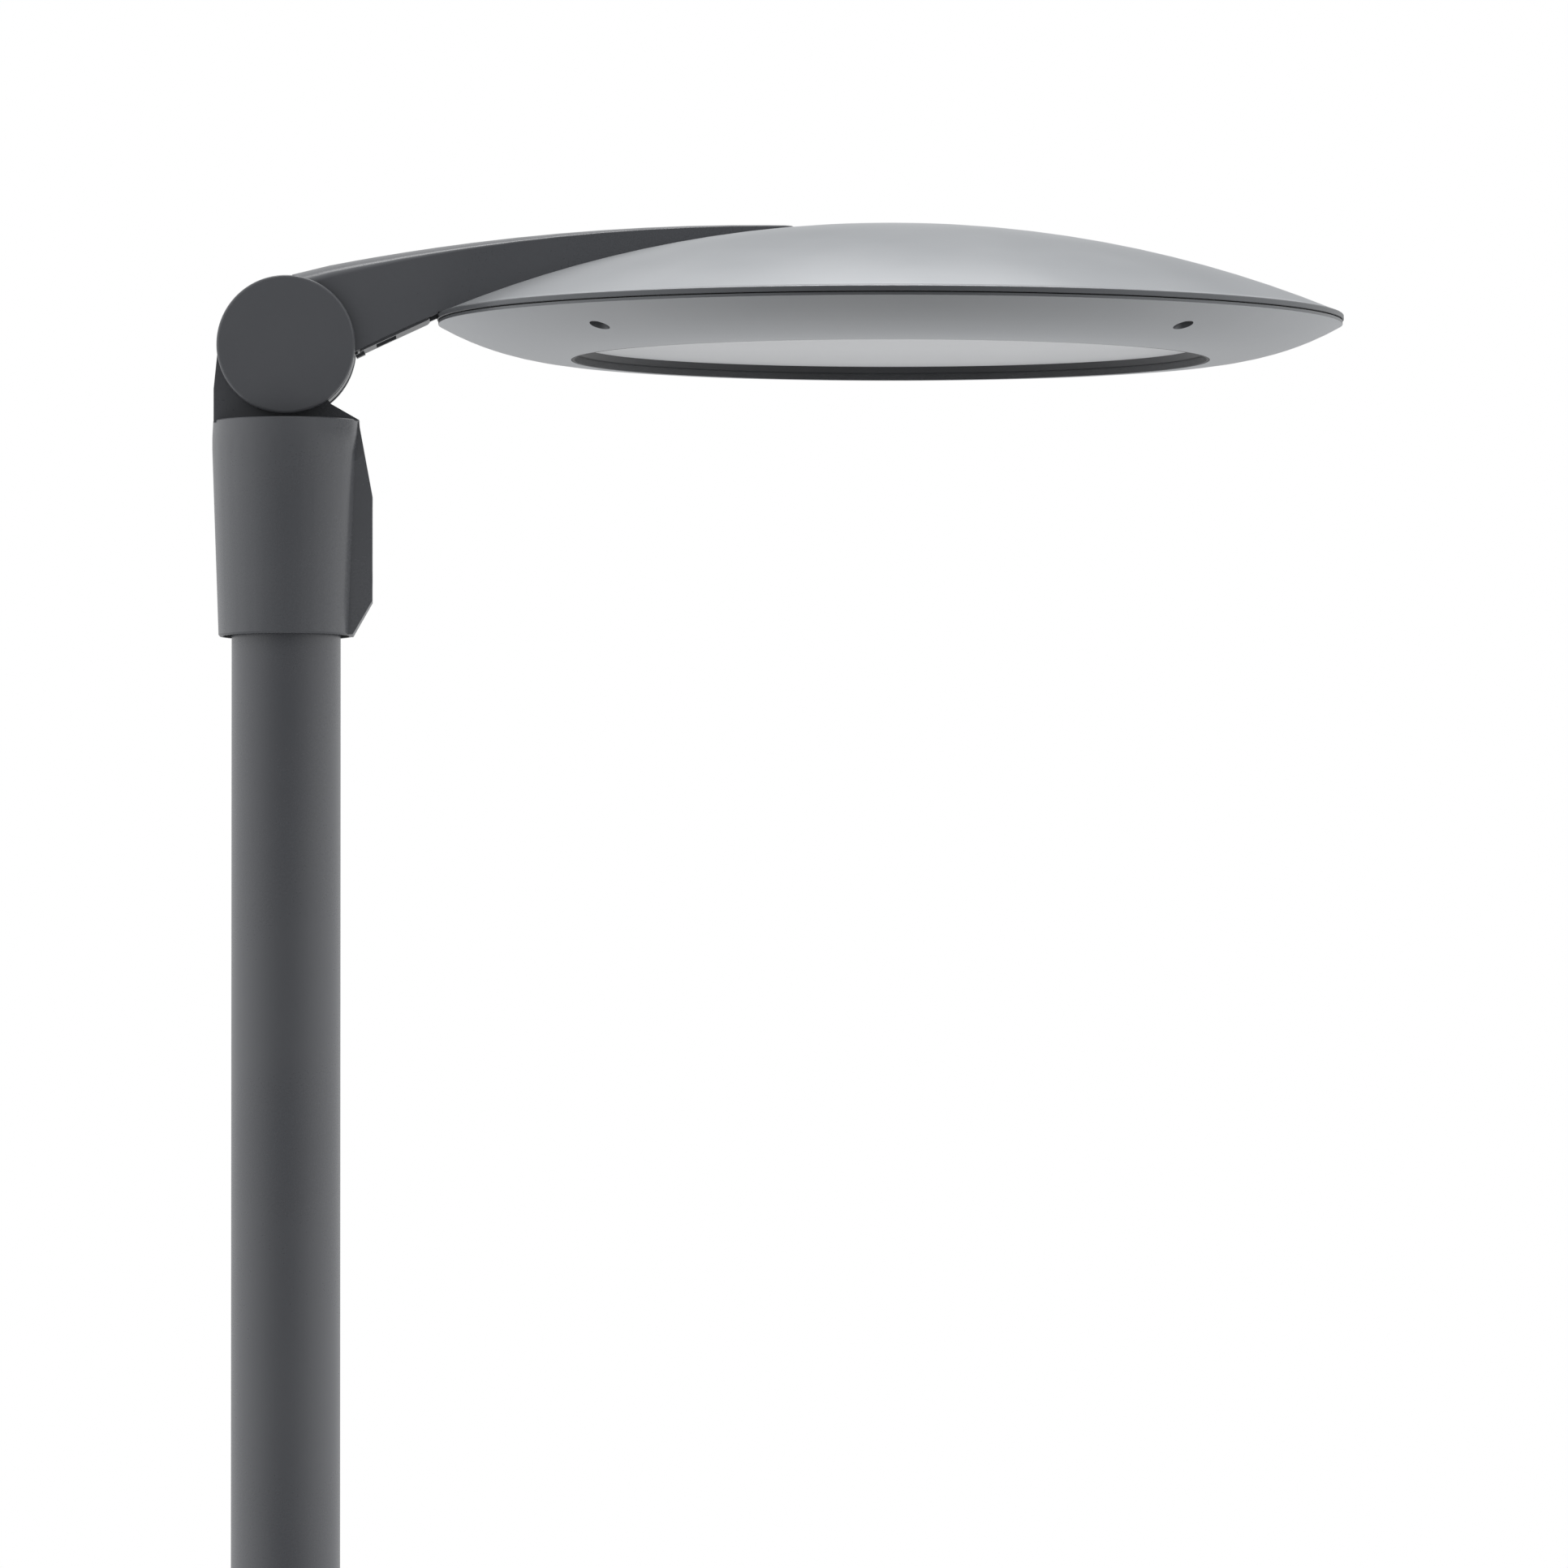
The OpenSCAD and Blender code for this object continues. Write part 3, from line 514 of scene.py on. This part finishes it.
def makeArm():
    casting = sweepArm("curvedArm", arm["halfWidth"], arm["stations"],
                       lambda x: armTop(x) - armCrown(x), armUnder)
    cheek = arm["halfWidth"] - arm["slot"] / 2
    for side in (-1, 1):
        disc = rod("cheek", arm["jointR"], cheek, (0.0, side * (arm["slot"] + cheek) / 2, arm["jointZ"]))
        combine(casting, disc, "UNION")
    # room for the tongue, and the bolt's bore with its seats
    joint = (0.0, 0.0, arm["jointZ"])
    combine(casting, rod("tongueRoom", arm["slotR"], arm["slot"], joint), "DIFFERENCE")
    length, height = arm["slotSize"]
    slotX, slotUp = arm["slotPlace"]
    combine(casting, brick("slotRoom", (length, arm["slot"], height), (slotX, 0.0, arm["jointZ"] + slotUp)),
            "DIFFERENCE")
    combine(casting, rod("boreRoom", arm["boreR"], arm["boreLength"], joint, 64), "DIFFERENCE")
    for side in (-1, 1):
        seat = rod("seatRoom", arm["seatR"], arm["seatDepth"],
                   (0.0, side * arm["halfWidth"], arm["jointZ"]), 96)
        combine(casting, seat, "DIFFERENCE")
    # the hollow, open below
    inside = sweepArm("hollowRoom", arm["halfWidth"] - arm["wall"], arm["hollow"],
                      lambda x: armTop(x) - armCrown(x) - arm["wall"],
                      lambda x: armUnder(x) - arm["hollowDrop"])
    combine(casting, inside, "DIFFERENCE")
    # the cover's recess in the sloping underside
    rootX = slopeStart()
    lean = atan2(arm["slopeRise"] + arm["rootDrop"], arm["slopeEnd"] - rootX)
    middle = Vector((rootX, 0.0, arm["jointZ"] - arm["rootDrop"]))
    middle += Matrix.Rotation(-lean, 3, "Y") @ Vector(arm["coverPlace"])
    combine(casting, brick("coverRoom", arm["coverSize"], middle, -lean), "DIFFERENCE")
    # the seat on the head's rim and dome
    bpy.ops.mesh.primitive_cylinder_add(vertices=240, radius=head["radius"] + arm["headGap"], depth=0.060,
                                        location=(head["x"], 0.0, head["seamZ"] + head["rimZ"] - 0.030))
    combine(casting, settle("rimRoom"), "DIFFERENCE")
    bpy.ops.mesh.primitive_uv_sphere_add(segments=256, ring_count=192, radius=head["domeR"] + arm["headGap"],
                                         location=(head["x"], 0.0, head["seamZ"] + head["domeZ"]))
    combine(casting, settle("domeRoom"), "DIFFERENCE")
    openMesh(casting)
    bpy.ops.mesh.select_all(action="SELECT")
    bpy.ops.mesh.remove_doubles(threshold=0.000005)
    closeMesh()
    smoothOff(casting, 28.0)
    standIn(casting, "arm_casting", "lamp")
    print("arm modelled:", len(casting.data.polygons), "faces")


def soften(node, name, body, width, segments, sharp):
    # a copy of the node's own solid with its edges eased
    piece = bpy.data.objects.new(name, nodes[node].data.copy())
    piece.data.name = name
    bpy.context.collection.objects.link(piece)
    openMesh(piece)
    bpy.ops.mesh.select_all(action="SELECT")
    bpy.ops.mesh.customdata_custom_splitnormals_clear()
    bpy.ops.mesh.remove_doubles(threshold=0.00001)
    bpy.ops.mesh.dissolve_limited(angle_limit=radians(0.4))
    closeMesh()
    bpy.ops.object.modifier_add(type="BEVEL")
    ease = piece.modifiers[-1]
    ease.width = width
    ease.segments = segments
    ease.limit_method = "ANGLE"
    ease.angle_limit = radians(sharp)
    bpy.ops.object.modifier_apply(modifier=ease.name)
    smoothOff(piece, sharp)
    standIn(piece, node, body)
    print("eased", name, len(piece.data.polygons), "faces")
    return piece


finishNodes()
makeArm()
easedNodes = {
    # node: name, body, width of the eased edge, segments, angle that counts as an edge
    "spigot_sleeve": ("sleeveCasting", "sleeve", 0.0007, 2, 18.0),
    "joint_cap_front": ("frontCap", "lamp", 0.0009, 4, 30.0),
    "joint_cap_rear": ("rearCap", "lamp", 0.0009, 4, 30.0),
    "base_plate": ("anchorPlate", "post", 0.0015, 2, 30.0),
    "base_gussets": ("baseGussets", "post", 0.0010, 2, 30.0),
    "shoulder_collar": ("shoulderCollar", "post", 0.0008, 2, 30.0),
}
for node, (name, body, width, segments, sharp) in easedNodes.items():
    soften(node, name, body, width, segments, sharp)


studio = {
    "back": 1.0,       # what the camera sees behind the post
    "front": 0.07,     # light of the room in front, beside and behind
    "rear": 0.56,
    "sky": 0.50,
    "ground": 0.45,    # how much darker the room is straight below
    "sides": 1.05,
    "camera": (0.3468, -22.57, 2.514),
    "tilt": 92.95,
    "lens": 745.0,
    "lightSpot": (0.3, 2.0, 9.5),
    "lightAim": (0.2, 0.0, 4.0),
    "lightSize": (3.4, 1.8),
    "lightPower": 120.0,
}


def paleFloor():
    bpy.ops.mesh.primitive_plane_add(size=24.0, location=(0.4, 0.0, 0.0))
    floor = bpy.context.object
    floor.name = "studioFloor"
    s = Sheet("floorPaint")
    cloud = s.noise(s.place(), 1.5, 3.0)
    floor.data.materials.append(s.set(
        Base_Color=s.blend(cloud, colour(0.70, 0.70, 0.70), colour(0.76, 0.76, 0.76)),
        Roughness=0.7 + (cloud - 0.5) * 0.1, Normal=s.bump(cloud, 0.0004)))
    floor.visible_glossy = False


def softLight(name, spot, aim, size, power):
    light = bpy.data.lights.new(name, "AREA")
    light.shape = "RECTANGLE"
    light.size, light.size_y = size
    light.energy = power
    lamp = bpy.data.objects.new(name, light)
    bpy.context.collection.objects.link(lamp)
    lamp.location = spot
    lamp.rotation_euler = (Vector(aim) - Vector(spot)).to_track_quat("-Z", "Y").to_euler()
    lamp.visible_camera = False
    return lamp


class Room(Sheet):
    # the world's node sheet, used the same way as a material's
    def __init__(self, name):
        self.world = bpy.data.worlds.new(name)
        self.world.use_nodes = True
        self.tree = self.world.node_tree
        bpy.context.scene.world = self.world


def studioWorld():
    room = Room("studioRoom")
    way = room.add("ShaderNodeTexCoord", out="Generated")
    parts = room.tree.nodes.new("ShaderNodeSeparateXYZ")
    room.tree.links.new(way.socket, parts.inputs[0])
    deep = Wire(room, parts.outputs[1])
    high = Wire(room, parts.outputs[2])
    across = Wire(room, parts.outputs[0])
    behind = (deep * 0.5 + 0.5) ** 1.5
    above = high.sum("MAXIMUM", high, 0.0)
    below = high.sum("MINIMUM", high, 0.0)
    light = (studio["front"] + behind * (studio["rear"] - studio["front"])
             + above * studio["sky"] + across * across * studio["sides"])
    light = light * (1.0 + below * studio["ground"])
    ground = room.tree.nodes["Background"]
    room.tree.links.new(light.socket, ground.inputs[1])
    ground.inputs[0].default_value = colour(0.985, 0.99, 1.0)
    backdrop = room.tree.nodes.new("ShaderNodeBackground")
    backdrop.inputs[0].default_value = colour(1.0, 1.0, 1.0)
    backdrop.inputs[1].default_value = studio["back"]
    seen = room.add("ShaderNodeLightPath")
    either = room.add("ShaderNodeMixShader", None,
                      [seen, Wire(room, ground.outputs[0]), Wire(room, backdrop.outputs[0])])
    room.tree.links.new(either.socket, room.tree.nodes["World Output"].inputs[0])


paleFloor()
studioWorld()
softLight("lightAbove", studio["lightSpot"], studio["lightAim"], studio["lightSize"], studio["lightPower"])

camera = bpy.data.objects.new("mainCamera", bpy.data.cameras.new("mainCamera"))
bpy.context.collection.objects.link(camera)
camera.location = studio["camera"]
camera.rotation_euler = (radians(studio["tilt"]), 0.0, 0.0)
camera.data.lens = studio["lens"]
camera.data.clip_end = 200.0
bpy.context.scene.camera = camera
bpy.context.scene.view_settings.view_transform = "Standard"
print("studio set")
